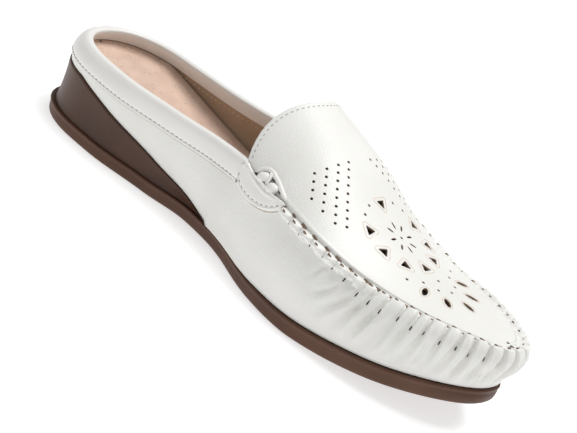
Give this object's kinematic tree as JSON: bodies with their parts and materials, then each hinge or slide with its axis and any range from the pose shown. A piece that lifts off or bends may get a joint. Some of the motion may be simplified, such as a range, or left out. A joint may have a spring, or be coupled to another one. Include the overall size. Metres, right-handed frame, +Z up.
{
  "type": "moccasin mule",
  "caption": "Slip-on moccasin mule with an open heel, raised tongue, perforated apron, gathered seam, side tabs and a low wedge sole.",
  "frame": {"origin": "on the floor, under the middle of the shoe's length and width", "axes": "+X from heel to toe, +Y to the wearer's left, +Z up from the floor"},
  "size_m": [0.247, 0.0889, 0.0712],
  "materials": {
    "brown_rubber": "satin",
    "dark_brown_wedge": "satin",
    "pink_suede": "matte",
    "white_leather": "semi-matte grain"
  },
  "bodies": {
    "root": {"outsole": "brown_rubber", "heel_wedge": "dark_brown_wedge", "insole": "pink_suede", "upper": "white_leather", "collar_band": "white_leather", "tab_inner": "white_leather", "tab_outer": "white_leather", "knot_inner": "white_leather", "knot_outer": "white_leather"}
  },
  "joints": []
}
